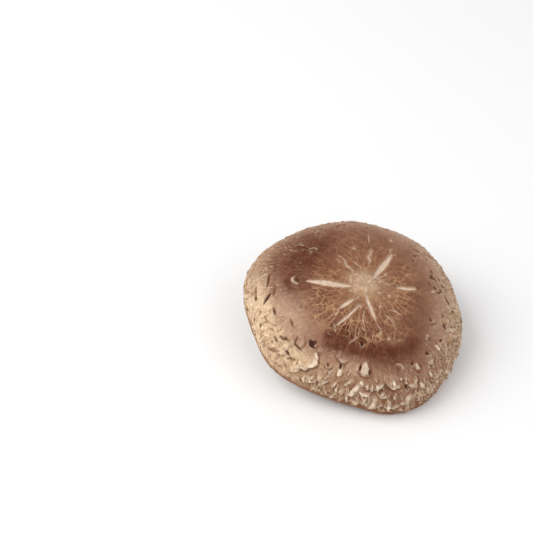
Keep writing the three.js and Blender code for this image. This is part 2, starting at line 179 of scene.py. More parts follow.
# Soft zones of colour: strength, s, azimuth, width down the skin in mm, width round it in degrees.
ZONES = {
    # The last dark zone, near the rim on the left, is partly a painted shadow.
    "dark": (
        (0.8, 25.8, -66, 3.6, 30), (0.75, 24.5, -98, 4.6, 24), (1, 21.5, 150, 7.5, 38), (0.4, 26, 178, 4.5, 16),
        (0.45, 31, 140, 8, 28), (0.22, 20, -25, 6, 26), (0.2, 15, -160, 3.5, 20), (0.3, 25, -174, 3.6, 2.2),
        (0.42, 16.5, -100, 6, 55), (0.3, 37, 166, 5, 12),
    ),
    # Lilac brown, partly the skin's own tint and partly a painted sheen at the back and the right.
    "lilac_and_sheen": (
        (1.1, 29.5, -158, 6.5, 27), (0.85, 39, 84, 7, 45), (0.55, 28.5, -24, 3.6, 20), (0.5, 31, 35, 7, 45),
        (0.4, 31, -2, 5, 20), (0.5, 32, -100, 3, 22),
    ),
    "rust_and_shade": ((0.5, 41, -119, 5, 13), (0.65, 47.5, -90, 3, 30), (0.3, 41, -150, 7, 14)),
}
# Zones that small torn shapes are strewn over: azimuths from and to, s from and to, then what one draw of that shape
# asks for (flaps: size, height, paleness; shreds: spread of their turn in radians, size), and how many.
FLAP_ZONES = (
    (-128, -52, 46, 51, 1.7, 0.35, 0.8, 12), (-52, 45, 32, 48, 1.5, 0.26, 0.65, 40),
    (45, 140, 32, 50, 1.2, 0.14, 0.35, 40), (140, 235, 38, 51, 1.4, 0.14, 0.5, 30),
)
TUFT_ZONES = ((-122, -55, 42, 48, 8), (-55, 40, 33, 47, 16), (140, 235, 40, 47, 6))
SHRED_ZONES = (
    (-128, -55, 39, 46.5, 0.4, 1, 30), (-55, 0, 32, 46.5, 0.8, 0.8, 34), (0, 45, 32, 46.5, 1, 0.55, 20),
    (45, 140, 38, 46, 0.4, 0.5, 8), (150, 232, 38, 46.5, 0.8, 0.6, 20),
)
SLIT_ZONES = ((-30, 45, 27, 45, 26), (45, 130, 30, 46, 20), (150, 215, 38, 49, 6), (-150, -128, 38, 49, 8))
# Loose fibres, the same way.
FIBRE_ZONES = ((-125, -50, 38, 46, 90), (-50, 50, 33, 46.5, 170), (50, 150, 37, 46, 50), (150, 235, 38, 46, 60))
# Order that turns a quad over.
OUTSIDE_IN = [0, 3, 2, 1]
# Numbers from 0 to 1 at every point of the skin: torn cream flesh, tan, lilac brown skin that is partly a painted
# sheen, dark brown skin with a patch of painted shadow, rusty torn fibre and painted shade, dark pits and painted
# shadow, the fine net, the fibrous flank and the rolled rim.
SKIN_MASKS = ("cream", "tan", "lilac_and_sheen", "dark", "rust_and_shade", "pit", "net", "flank", "rim")


def unit_turn(axis, angle):
    """Matrix that turns about a unit axis by an angle, by Rodrigues' formula."""
    x, y, z = axis
    k = np.array([[0, -z, y], [z, 0, -x], [-y, x, 0]])
    return np.eye(3) + math.sin(angle) * k + (1 - math.cos(angle)) * (k @ k)


LEAN_TURN = unit_turn((-math.sin(LEAN_AZIMUTH), math.cos(LEAN_AZIMUTH), 0), LEAN)


def lean(points):
    """Points in the cap's own millimetres, turned by the lean and moved to the ring's middle."""
    return points @ LEAN_TURN.T + RING_CENTRE


def rest(points):
    """Leaning points, none of them below the surface."""
    placed = lean(points)
    placed[..., 2] = np.maximum(placed[..., 2], 0)
    return placed


def polar(radius, az, height):
    """Points at a radius, an azimuth and a height."""
    return np.stack([radius * np.cos(az), radius * np.sin(az), height], -1)


def heading(degrees):
    """Cosine and sine of an angle in degrees."""
    return math.cos(math.radians(degrees)), math.sin(math.radians(degrees))


def ease(low, high, x):
    """Smooth step: 0 up to low, 1 from high, and t*t*(3-2t) between."""
    t = np.clip((x - low) / (high - low), 0, 1)
    return t * t * (3 - 2 * t)


def bell(x):
    """Bell curve of height 1: e to the power of minus x squared."""
    return np.exp(-(x**2))


def scatter(*keys):
    """Repeatable numbers from 0 to 1: the fraction of a large sine of the keys' weighted sum."""
    weights = (127.1, 311.7, 74.7, 53.3)
    wave = np.sin(sum(w * k for w, k in zip(weights, keys)) + 4.14) * 43758.5453
    return wave - np.floor(wave)


def noise(points, size, seed):
    """Smooth noise from -1 to 1: random values on a cubic lattice of that size, blended by the smooth step."""
    q = points / size
    cell = np.floor(q)
    t = q - cell
    t = t * t * (3 - 2 * t)
    total = 0
    for corner in np.ndindex(2, 2, 2):
        weight = np.prod(np.where(np.array(corner) == 1, t, 1 - t), axis=-1)
        i = cell + np.array(corner)
        total = total + weight * scatter(i[..., 0], i[..., 1], i[..., 2], seed)
    return 2 * total - 1


def swirled(points, reach, size, seed):
    """Points pushed along each axis by up to reach, by three noises of one size with seeds in a row."""
    return points + reach * np.stack([noise(points, size, seed + i) for i in range(3)], -1)


def off(az, degrees):
    """How far an azimuth in radians is from one in degrees, the short way round, in degrees."""
    return (np.degrees(az) - degrees + 180) % 360 - 180


def facing(az, az0, width):
    """1 on the side of the cap that faces az0, and down by a bell curve over a width in degrees."""
    return bell(off(az, az0) / width)


def patch(s, az, s0, az0, s_width, az_width):
    """Soft spot on the skin: a bell curve of the distance from (s0, az0) over its widths, in mm and degrees."""
    return bell((s - s0) / s_width) * facing(az, az0, az_width)


def cap_profile():
    """Radius, height and arc length down the skin: a superellipse crown, then a quarter-ellipse roll turned in."""
    a = np.linspace(0, math.pi / 2, CROWN_STEPS)
    t = np.linspace(0, EDGE_TURN, ROLL_STEPS)[1:]
    radius = np.r_[CAP_RADIUS * np.sin(a) ** (2 / CROWN_POWER), CAP_RADIUS - EDGE_ROLL + EDGE_ROLL * np.cos(t)]
    height = np.r_[CROWN_HEIGHT * np.cos(a), -EDGE_DROP * np.sin(t)]
    return radius, height, np.r_[0, np.cumsum(np.hypot(np.diff(radius), np.diff(height)))]


PROFILE_RADIUS, PROFILE_HEIGHT, PROFILE_ARC = cap_profile()
SKIN_LENGTH = PROFILE_ARC[-1]
RIM_ARC = PROFILE_ARC[CROWN_STEPS - 1]


def lobe(az):
    """Share by which the rim's waves stretch the cap: 1 plus a cosine for each wave."""
    return 1 + sum(share * np.cos(waves * (az - math.radians(crest))) for waves, share, crest in RIM_LOBES)


def skin(s, az):
    """Points of the smooth skin: the profile's radius at s, stretched by the lobes, and its height there."""
    return polar(np.interp(s, PROFILE_ARC, PROFILE_RADIUS) * lobe(az), az, np.interp(s, PROFILE_ARC, PROFILE_HEIGHT))


def skin_normal(s, az):
    """Outward unit normals of the smooth skin: the cross product of its slopes over 0.2 mm and 0.006 radians."""
    s = np.clip(s, 0.3, SKIN_LENGTH - 0.1)
    normal = np.cross(skin(s + 0.1, az) - skin(s - 0.1, az), skin(s, az + 0.003) - skin(s, az - 0.003))
    return normal / np.linalg.norm(normal, axis=-1, keepdims=True)


def flesh_height(radius):
    """Height of the flesh's underside: the superellipse crown less a thickness that falls with the radius squared."""
    share = np.asarray(radius, float) / CAP_RADIUS
    crown = CROWN_HEIGHT * np.sqrt(np.clip(1 - share**CROWN_POWER, 0, 1))
    return crown - FLESH_AT_EDGE - (FLESH_AT_AXIS - FLESH_AT_EDGE) * (1 - share**2)


def near_line(f, points, near=slice(None)):
    """Distance in mm from a line through points on the flattened skin, and the share of its length walked."""
    x, y = f["x"][near], f["y"][near]
    line = np.array([[s * part for part in heading(az)] for s, az in zip(points[::2], points[1::2])])
    steps = np.hypot(*np.diff(line, axis=0).T)
    starts = np.r_[0, np.cumsum(steps)]
    best, walked = np.full(len(x), np.inf), np.zeros(len(x))
    for i, step in enumerate(steps):
        dx, dy = line[i + 1] - line[i]
        t = np.clip(((x - line[i, 0]) * dx + (y - line[i, 1]) * dy) / step**2, 0, 1)
        d = np.hypot(x - line[i, 0] - t * dx, y - line[i, 1] - t * dy)
        closer = d < best
        best = np.where(closer, d, best)
        walked = np.where(closer, (starts[i] + t * step) / starts[-1], walked)
    return best, walked


def close_to(f, s0, az0, reach, degrees):
    """Numbers of the skin's points within a reach in mm and an angle of a spot.

    A caller gets the angle from its reach over a radius a little under the flank's, so that no point is missed.
    """
    return np.nonzero((np.abs(f["s"] - s0) < reach) & (np.abs(off(f["az"], az0)) < degrees))[0]


def from_spot(f, near, s0, az0):
    """Millimetres down the skin and round it, from a spot to some of the skin's points."""
    return f["s"][near] - s0, np.radians(off(f["az"][near], az0)) * f["radius"][near]


def lay(f, name, value, clear=0, near=slice(None)):
    """Takes a share of a mask away, and then raises it to at least a value."""
    f[name][near] = np.maximum(f[name][near] * (1 - clear), value)


def combed(f, squeeze):
    """Points of the skin with the way down it squeezed, so that noise over them makes strands."""
    return np.column_stack([f["p"][:, :2], f["s"] / squeeze])


def carve_cracks(f):
    """Sinks each crack as a spindle: its half width is that of its middle times sin(pi*share) to the power 0.7."""
    wobble = 0.16 * noise(f["p"], 0.9, 3)
    for width, *points in CRACKS:
        d, share = near_line(f, points)
        half = width / 2 * np.sin(np.pi * np.clip(share, 0, 1)) ** 0.7
        d = d + wobble * 0.5
        mask = 1 - ease(half - 0.12, half + 0.16, d)
        lip = bell((d - half - 0.35) / 0.3) * (half > 0.1)
        f["height"] += 0.1 * lip - 0.32 * mask
        lay(f, "cream", mask)
        lay(f, "tan", 0.35 * lip)
    for width, *points in HAIRLINES:
        d, share = near_line(f, points)
        half = width / 2 * (0.35 + 0.65 * np.sin(np.pi * np.clip(share, 0.02, 0.98)))
        mask = 1 - ease(half - 0.1, half + 0.22, np.abs(d + wobble))
        f["height"] -= 0.1 * mask
        lay(f, "cream", 0.42 * mask)


def raise_bump(f):
    """Raises the crown's middle bump as a bell, and sinks the hairline round it, open at its lower right."""
    x, y = f["x"] - BUMP_X, f["y"] - BUMP_Y
    out = np.hypot(x, y)
    d = np.abs(out - 2.25 - 0.5 * noise(f["p"], 1.7, 5))
    mask = (1 - ease(0.14, 0.42, d)) * ease(25, 60, np.abs(off(np.arctan2(y, x), -45)))
    f["height"] += 0.22 * bell(out / 1.8) - 0.12 * mask
    lay(f, "cream", 0.42 * mask)


def raise_dots(f):
    """Raises small pale domes, each a bell curve 0.4 mm wide in a shallow moat."""
    for s0, az0 in DOTS:
        c, e = heading(az0)
        d = np.hypot(f["x"] - s0 * c, f["y"] - s0 * e)
        f["height"] += 0.2 * bell(d / 0.42) - 0.06 * bell((d - 0.85) / 0.3)
        lay(f, "cream", 0.8 * bell(d / 0.36))
        lay(f, "tan", 0.35 * bell(d / 0.9))


def raise_flaps(f, flaps):
    """Raises torn flaps: fused uphill, they lift towards their frayed lower edge at distance e = 1 and drop there."""
    frayed = 0.13 * noise(f["p"], 1.1, 31) + 0.13 * noise(f["p"], 2.3, 32)
    strands = noise(combed(f, 3), 0.9, 33)
    for s0, az0, along, across, height, pale, turn in flaps:
        size = max(along, across)
        near = close_to(f, s0, az0, 1.7 * size, np.degrees(1.7 * size / 30))
        x, y = from_spot(f, near, s0, az0)
        c, d = heading(turn)
        u, v = (x * c + y * d) / along, (y * c - x * d) / across
        fraying = (frayed[near] + 0.14 * strands[near] * min(1, 2.5 / along)) * ease(-0.3, 0.7, u)
        e = np.hypot(u, v) + fraying
        inside = 1 - ease(0.94, 1.03, e)
        rise = height * inside * ease(-0.5, 1.0, u)
        # Where two flaps meet, the higher one hides what the lower one had painted.
        wins = rise > f["flap"][near] + 0.02
        lay(f, "flap", rise, 0, near)
        teeth = ease(-0.3, 0.25, strands[near])
        edge = ease(1.0 - 1.9 / size, 0.93, e) * inside * ease(0.0, 0.5, u)
        torn = np.maximum(pale * edge * (0.35 + 0.65 * teeth), 0.6 * f["cream"][near])
        f["cream"][near] = np.where(wins, torn, f["cream"][near])
        lay(f, "pit", 0, wins, near)
        lay(f, "rust_and_shade", 0, wins, near)
        lay(f, "tan", 0.3 * pale * inside * ease(-0.1, 0.9, u) * wins, 0, near)
        # The gap below the torn edge, about 0.55 mm wide, is painted as shadow: dark at its core and rusty brown
        # further out.
        gap = 0.55 / size
        shade = ease(1.0, 1.05, e) * (1 - ease(1.0 + gap, 1.08 + 2 * gap, e)) * ease(0.1, 0.6, u) * (1 - wins)
        core = shade * (1 - ease(1.0 + 0.5 * gap, 1.02 + 1.2 * gap, e))
        lay(f, "pit", 0.7 * core * min(1, 1.3 * height), 0, near)
        lay(f, "rust_and_shade", 0.75 * shade * min(1, 1.5 * height), 0, near)
        f["height"][near] -= 0.15 * shade


def raise_tufts(f, tufts):
    """Raises small torn tufts: a steep ragged dome, dented and cream on top, with a painted shadow round its base."""
    ragged = 0.42 * noise(f["p"], 0.9, 35) + 0.3 * noise(f["p"], 1.8, 36)
    strands = noise(combed(f, 3), 0.7, 39)
    for s0, az0, size, height, pale in tufts:
        near = close_to(f, s0, az0, 2.6 * size, np.degrees(2.6 * size / 25))
        x, y = from_spot(f, near, s0, az0)
        d = np.hypot(0.72 * x, (1.25 - 0.3 * np.clip(x / size, -1, 1)) * y) / size + ragged[near] * min(1, 1 / size)
        top = 1 - ease(0.45, 1.1, d)
        teeth = 0.55 + 0.45 * ease(-0.3, 0.2, strands[near])
        dent = bell((d - 0.15) / 0.38) * min(1, max(0, size - 0.9) / 0.4)
        f["height"][near] += height * top * teeth * (1 - 0.7 * dent)
        # Painted shadow round the tuft's base, most on its downhill side, dark and rusty brown.
        foot_shadow = bell((d - 1.3) / 0.25) * ease(-0.6, 0.9, x / size + 0.8 * np.abs(y / size))
        lay(f, "pit", 0.35 * foot_shadow * height, top, near)
        lay(f, "rust_and_shade", 0.9 * foot_shadow * min(1, 2 * height), top, near)
        lay(f, "cream", pale * (1 - ease(0.55, 1.0, d)) * (0.5 + 0.5 * teeth) * (1 - 0.45 * dent), 0, near)


def raise_shreds(f, shreds):
    """Raises torn shreds: half width grows from the root with share^0.6, the tip frays, and fine strands part it."""
    frayed = 0.2 * noise(f["p"], 0.8, 37)
    strands = noise(combed(f, 4), 0.75, 38)
    for width, pale, *points in shreds:
        near = close_to(f, np.mean(points[::2]), points[1], 5.5, 13)
        d, share = near_line(f, points, near)
        half = width / 2 * (0.25 + 0.75 * share**0.6)
        d = d + (frayed[near] + 0.25 * strands[near]) * (0.4 + 0.6 * share)
        mask = 1 - ease(half - 0.1, half + 0.14, d)
        teeth = 0.35 + 0.65 * ease(-0.3, 0.15, strands[near])
        f["height"][near] += mask * 0.42 * min(1, width) * ease(0, 0.7, share) * (0.35 + 0.65 * teeth)
        # Along the shred's edge a painted shadow, dark and rusty brown; between its strands the shred is rusty brown.
        shade = ease(half, half + 0.15, d) * (1 - ease(half + 0.25, half + 0.7, d)) * ease(0.2, 0.8, share)
        lay(f, "pit", 0.4 * shade, mask, near)
        lay(f, "rust_and_shade", 0.75 * shade + 0.5 * mask * (1 - teeth), mask, near)
        lay(f, "cream", pale * mask * ease(0, 0.5, share) * teeth, 0.5 * mask, near)


def raise_warts(f):
    """Raises low warts: a dome with a torn pit beside its middle, and a pale crescent on the other side."""
    uneven = 0.32 * noise(f["p"], 1.0, 41) + 0.2 * noise(f["p"], 2.0, 42)
    for s0, az0, size, height, pit, pale, bright_side in WARTS:
        x, y = from_spot(f, slice(None), s0, az0)
        d = np.hypot(x, y) + uneven
        c, e = heading(bright_side)
        side = (x * c + y * e) / size
        dome = 1 - ease(0.3 * size, 1.25 * size, d)
        pit_d = np.hypot((side + 0.25) * size, 0.75 * (y * c - x * e)) + 0.6 * uneven
        hole = 1 - ease(0.2 * size, 0.62 * size, pit_d)
        crescent = bell((d - 0.8 * size) / (0.22 * size)) * ease(-0.15, 0.75, side)
        outline = bell((d - 1.25 * size) / (0.18 * size)) * ease(-0.5, 0.5, side)
        f["height"] += height * dome - pit * hole + 0.15 * crescent
        lay(f, "cream", pale * crescent, dome)
        lay(f, "pit", hole * min(1.0, 1.2 * pit), dome)
        lay(f, "pit", 0.35 * pale * outline)


def carve_slits(f, slits):
    """Sinks dark slits: spindles like the cracks, with a frayed edge and a raised pale lip."""
    frayed = 0.16 * noise(f["p"], 0.7, 51)
    for width, depth, *points in slits:
        middle = np.mean(points[::2])
        near = close_to(f, middle, points[1], 6, 14)
        d, share = near_line(f, points, near)
        half = width / 2 * (0.35 + 0.65 * np.sin(np.pi * share))
        d = d + frayed[near]
        mask = 1 - ease(half - 0.12, half + 0.2, d)
        downhill = ease(-0.1, 0.9, (f["s"][near] - middle) / max(width, 0.6))
        lip = bell((d - half - 0.4) / 0.28) * downhill * (width > 0.5)
        f["height"][near] += 0.1 * lip - depth * mask
        lay(f, "pit", min(1.0, 0.35 + 1.1 * depth) * mask, mask, near)
        lay(f, "rust_and_shade", 0.6 * (1 - ease(half, half + 0.6, d)), 0, near)
        lay(f, "cream", 0.3 * lip, mask, near)


def strewn(seed, zones, draw):
    """Shapes drawn at random: for each zone, as many as its last number says, from its other numbers."""
    rng = np.random.default_rng(seed)
    return [draw(rng, *zone) for *zone, count in zones for _ in range(count)]


def small_flap(rng, low, high, s_low, s_high, size, height, pale):
    """A torn flap anywhere in a zone, 0.6 to 1.35 times a size along and up to 1.7 times as wide."""
    along = size * rng.uniform(0.6, 1.35)
    across = along * rng.uniform(0.9, 1.7)
    return (rng.uniform(s_low, s_high), rng.uniform(low, high), along, across, height * rng.uniform(0.5, 1.1),
            pale * rng.uniform(0.35, 1.1), rng.normal(10, 22))


def small_tuft(rng, low, high, s_low, s_high):
    """A cream tuft anywhere in a zone, with a radius of 0.35 mm to 0.8 mm."""
    return (rng.uniform(s_low, s_high), rng.uniform(low, high), rng.uniform(0.35, 0.8), rng.uniform(0.15, 0.35),
            rng.uniform(0.4, 1.0))


def small_shred(rng, low, high, s_low, s_high, spread, size):
    """A shred 1.3 mm to 3.8 mm long anywhere in a zone, hanging down the skin, turned by a normal draw."""
    s0, az0 = rng.uniform(s_low, s_high), rng.uniform(low, high)
    length, turn = rng.uniform(1.3, 3.8), rng.normal(-0.2, spread)
    s1 = min(s0 + length * math.cos(turn), SHRED_END)
    az1 = az0 + math.degrees(length * math.sin(turn) / FLANK_RADIUS)
    return size * rng.uniform(0.5, 1.4), rng.uniform(0.35, 0.9), s0, az0, s1, az1


def small_slit(rng, low, high, s_low, s_high):
    """A dark slit 0.4 mm to 1.8 mm long anywhere in a zone, more across the skin than down it."""
    s0, az0 = rng.uniform(s_low, s_high), rng.uniform(low, high)
    length, turn = rng.uniform(0.2, 0.9), rng.uniform(0.7, 2.4)
    ds, daz = length * math.cos(turn), math.degrees(length * math.sin(turn) / FLANK_RADIUS)
    return rng.uniform(0.35, 0.75), rng.uniform(0.2, 0.4), s0 - ds, az0 - daz, s0 + ds, az0 + daz


def lay_colours(f):
    """Lays the soft zones of colour, as sums of bell curves and smooth steps broken by noise, and the fold's swell."""
    s, az, p = f["s"], f["az"], f["p"]
    for name, spots in ZONES.items():
        for strength, *place in spots:
            f[name] += strength * patch(s, az, *place)
    f["dark"] += 0.3 * ease(33, 40, s) * facing(az, -62, 34) * (1 + 0.8 * noise(p, 3.4, 76))
    # A fold runs down the front left of the crown: on one side the skin is raised and light, on the other dark.
    edge = off(az, -122.8) - 0.885 * (s - 27) + 1.1 * noise(p, 3.5, 75)
    fold = ease(-1.8, 0.7, edge) * (np.abs(off(az, -100)) < 60)
    f["dark"] *= 1 - 0.75 * (1 - fold) * patch(s, az, 25, -131, 5, 11)
    f["dark"] += fold * patch(s, az, 25, -112, 5.2, 14)
    f["height"] += 0.35 * (1 - fold) * patch(s, az, 26.5, -130, 4.5, 12)
    # Down the right side the lilac is partly a painted highlight.
    f["lilac_and_sheen"] += 0.85 * ease(29, 37, s) * facing(az, 2, 55)
    ragged = s + 1.5 * noise(p, 4, 8)
    f["tan"] += ease(31, 37, ragged) * facing(az, -158, 48) + 0.1 * ease(29, 36, ragged) * facing(az, -100, 30)
    f["tan"] += 0.42 * ease(31, 40, s) * facing(az, -8, 52) + 0.58 * (1 - ease(1.5, 10.5, s + 1.6 * noise(p, 3, 77)))
    mottling = noise(p, 2.4, 6) + noise(p, 0.9, 7)
    for name, amount in (("tan", 0.3), ("dark", 0.3), ("lilac_and_sheen", 0.25)):
        f[name] = np.clip(f[name] * (1 + amount * mottling), 0, 1)
    f["rust_and_shade"] += 0.26 * ease(4, 8, s) * (1 - ease(13, 20, s)) * (1 - 0.5 * facing(az, 0, 40))
    # The fine net is full from 6 mm to about 20 mm down the crown, most at the front, and broken by noise.
    reach = s - 3.5 * facing(az, -112, 30) - 3.0 * facing(az, -150, 30) + 3.2 * noise(p, 4.0, 15)
    lower = 0.6 + 0.4 * ease(-1, 0.4, np.cos(az - math.radians(-95)))
    thinned = (1 - 0.85 * patch(s, az, 22, 150, 9, 40)) * (1 - 0.6 * patch(s, az, 21, -20, 7, 30))
    broken = 0.45 + 0.75 * ease(-0.7, 0.1, noise(p, 2.8, 16))
    f["net"] = ease(2.6, 6.0, s) * (1 - ease(13.0, 26.0, reach)) * lower * thinned * broken


def comb_flank(f):
    """Draws torn strokes 1 mm wide and 4 mm long down the lower front: cream where a noise is high, rusty between,
    partly painted shade.
    """
    s, az, p = f["s"], f["az"], f["p"]
    swayed = swirled(p, 0.8, 3.5, 72)
    turn = np.hypot(swayed[:, 0], swayed[:, 1]) / np.maximum(f["radius"], 1)
    along = np.column_stack([swayed[:, :2] / turn[:, None], s / 5])
    stroke = ease(0.08, 0.4, noise(along, 1.3, 68)) * ease(-0.05, 0.3, noise(p, 4.8, 69))
    stroke *= 0.4 * ease(37, 43, s) * facing(az, -92, 34) + 0.4 * ease(30, 36, s) * facing(az, -20, 48)
    stroke *= (1 - f["pit"]) * (1 - 0.6 * f["rust_and_shade"])
    f["height"] += 0.12 * stroke
    lay(f, "cream", 0.9 * stroke)
    # Between the strokes the rusty brown is partly painted shade.
    between = ease(-0.05, 0.4, -noise(along, 1.2, 68)) * ease(34, 40, s) * facing(az, -75, 60)
    lay(f, "rust_and_shade", 0.75 * between * (1 - f["cream"]))
    # The whole flank is fibrous: fine strands, curls and soft lumps, which end at the rim.
    plain = 0.6 * facing(az, 82, 46) + 0.4 * facing(az, -80, 52)
    f["flank"] = ease(26, 33, s + 1.5 * noise(p, 3.5, 9)) * (1 - plain) + 0.5 * patch(s, az, 22, 146, 6, 26)
    curl = np.clip(1 - np.abs(noise(swirled(p, 1.4, 2.2, 62), 1.5, 65)) * 2.4, 0, 1)
    fibrous = 0.06 * noise(combed(f, 4), 0.95, 61) + 0.03 * curl + 0.22 * noise(p, 4.6, 70)
    f["height"] += (1 - ease(RIM_ARC - 1, RIM_ARC + 2, s)) * f["flank"] * fibrous


def cap_fields(s, az):
    """Relief in mm and the masks of each colour over the skin, at flat arrays of s and az."""
    p = skin(s, az)
    # Each point's place on the cap, its radius, and its place on the skin laid flat.
    f = {"s": s, "az": az, "p": p, "radius": np.hypot(p[:, 0], p[:, 1]), "x": s * np.cos(az), "y": s * np.sin(az)}
    for name in ("height", "flap", *SKIN_MASKS):
        f[name] = np.zeros(len(s))
    # Slow waves all over, and at the front a terrace that swells and sinks again down the skin.
    terrace = ease(22.5, 26.5, s) - 1.75 * ease(26.5, 30, s) + 0.75 * ease(30, 38, s)
    f["height"] += 0.32 * noise(p, 11, 1) * ease(6, 20, s) + 0.1 * noise(p, 4.2, 2)
    f["height"] += 0.42 * facing(az, -80, 52) * terrace
    lay_colours(f)
    carve_cracks(f)
    raise_bump(f)
    raise_dots(f)
    raise_flaps(f, strewn(17, FLAP_ZONES, small_flap) + list(FLAPS))
    f["height"] += f["flap"]
    raise_warts(f)
    carve_slits(f, strewn(23, SLIT_ZONES, small_slit) + list(SLITS))
    raise_shreds(f, strewn(29, SHRED_ZONES, small_shred) + list(SHREDS))
    raise_tufts(f, strewn(19, TUFT_ZONES, small_tuft) + list(TUFTS))
    comb_flank(f)
    f["height"] *= 1 - ease(SKIN_LENGTH - 3, SKIN_LENGTH, s)
    f["rim"] = ease(RIM_ARC - 1.6, RIM_ARC + 0.3, s + 0.6 * noise(p, 2.6, 67))
    for name in SKIN_MASKS:
        f[name] = np.clip(f[name], 0, 1)
    return f


def grid_quads(rows, columns, steps):
    """Quads of a grid that closes round its columns, over so many steps down its rows, of which the last may wrap."""
    r, c = np.meshgrid(np.arange(steps), np.arange(columns), indexing="ij")
    n, q = (c + 1) % columns, (r + 1) % rows
    return np.stack([r * columns + c, q * columns + c, q * columns + n, r * columns + n], -1).reshape(-1, 4)


def shell_faces(rows, columns):
    """Quads and end fans of a turned grid whose rows run down the outside and columns run anticlockwise."""
    c = np.arange(columns)
    n, last, pole = (c + 1) % columns, (rows - 1) * columns, np.full(columns, rows * columns)
    fans = np.concatenate([np.stack([pole, c, n], -1), np.stack([last + c, pole + 1, last + n], -1)])
    return grid_quads(rows, columns, rows - 1).tolist() + fans.tolist()


def new_object(name, data):
    """An object of that name in the scene, at the origin."""
    thing = bpy.data.objects.new(name, data)
    bpy.context.scene.collection.objects.link(thing)
    return thing


def make_piece(name, points, faces, material, masks=None):
    """A mesh piece from points in mm, smooth shaded, with a number at every point for each mask."""
    mesh = bpy.data.meshes.new(name)
    mesh.from_pydata((points / 1000).tolist(), [], faces)
    mesh.polygons.foreach_set("use_smooth", [True] * len(mesh.polygons))
    for key, values in (masks or {}).items():
        values = np.asarray(values, np.float32)
        kind, slot = ("FLOAT", "value") if values.ndim == 1 else ("FLOAT_VECTOR", "vector")
        mesh.attributes.new(key, kind, "POINT").data.foreach_set(slot, values.ravel())
    mesh.materials.append(material)
    mesh.update()
    return new_object(name, mesh)


def linear(code):
    """An sRGB hex colour as linear red, green, blue and 1."""
    parts = [int(code[i:i + 2], 16) / 255 for i in (1, 3, 5)]
    return (*[v / 12.92 if v <= 0.04045 else ((v + 0.055) / 1.055) ** 2.4 for v in parts], 1.0)


def add(tree, kind, inputs, out=0, **settings):
    """Adds a node with its settings, fills its inputs from sockets or values, and gives one of its outputs.

    The inputs are a dictionary, or a list in the order of the node's own inputs.
    """
    node = tree.nodes.new("ShaderNode" + kind)
    for key, value in settings.items():
        setattr(node, key, value)
    for key, value in inputs.items() if isinstance(inputs, dict) else enumerate(inputs):
        if isinstance(value, bpy.types.NodeSocket):
            tree.links.new(value, node.inputs[key])
        else:
            node.inputs[key].default_value = value
    return node.outputs[out] if len(node.outputs) else node


def new_tree(owner, name):
    """A material or a world of that name with an empty node tree, and that tree."""
    thing = owner.new(name)
    thing.use_nodes = True
    thing.node_tree.nodes.clear()
    return thing, thing.node_tree


def grain(tree, size_mm, detail, low, high):
    """Noise with features of that size, stretched from low to high over its middle range."""
    place = add(tree, "TexCoord", {}, "Object")
    pattern = add(tree, "TexNoise", {"Vector": place, "Scale": 1000 / size_mm, "Detail": detail, "Roughness": 0.6})
    return add(tree, "MapRange", [pattern, 0.3, 0.7, low, high])


def painted(tree, colour, layers):
    """A colour with layers over it, each of which covers what is under it by the product of its shares.

    A share is a socket, a number, the name of a mask, or a grain as its size in mm and its detail. A layer's colour
    is a hex code, or a colour with layers of its own.
    """
    under = linear(colour)
    for *shares, over in layers:
        amount = None
        for share in shares:
            if isinstance(share, str):
                share = add(tree, "Attribute", {}, "Fac", attribute_name=share)
            elif isinstance(share, tuple):
                share = grain(tree, *share, 0, 1)
            amount = add(tree, "Math", [amount, share], operation="MULTIPLY") if amount is not None else share
        over = painted(tree, *over) if isinstance(over, tuple) else linear(over)
        under = add(tree, "Mix", {0: amount, 6: under, 7: over}, 2, data_type="RGBA")
    return under


def bent_place(tree, place, size_mm, reach):
    """A place pushed about by noise of a size in mm, by up to reach in its own units."""
    spot = add(tree, "TexCoord", {}, "Object")
    swirl = add(tree, "TexNoise", {"Vector": spot, "Scale": 1000 / size_mm, "Detail": 2}, "Color")
    push = add(tree, "VectorMath", [swirl, (0.5, 0.5, 0.5)], operation="SUBTRACT")
    push = add(tree, "VectorMath", {0: push, 3: 2 * reach}, operation="SCALE")
    return add(tree, "VectorMath", [place, push], operation="ADD")


def hairs(tree, place, apart_mm, width):
    """Thin curling lines: where smooth noise is within a width of its middle."""
    wave = add(tree, "TexNoise", {"Vector": place, "Scale": 1000 / apart_mm, "Detail": 1.5})
    away = add(tree, "Math", [add(tree, "Math", [wave, 0.5], operation="SUBTRACT")], operation="ABSOLUTE")
    return add(tree, "MapRange", [away, width, 0.3 * width, 0.0, 1.0])


def net_lines(tree, ray, around, length_mm, reach, width):
    """Borders of cells on a cylinder: so many cells round the cap, each so many mm long down the skin."""
    share = around / (2 * math.pi) / (CAP_RADIUS / 1000)
    spacing = (share, share, 1000 * RAY_SQUEEZE / length_mm)
    place = bent_place(tree, add(tree, "VectorMath", [ray, spacing], operation="MULTIPLY"), 2.4, reach)
    edge = add(tree, "TexVoronoi", {"Vector": place, "Scale": 1.0}, "Distance", feature="DISTANCE_TO_EDGE")
    return add(tree, "MapRange", [edge, width, 0.25 * width, 0.0, 1.0])


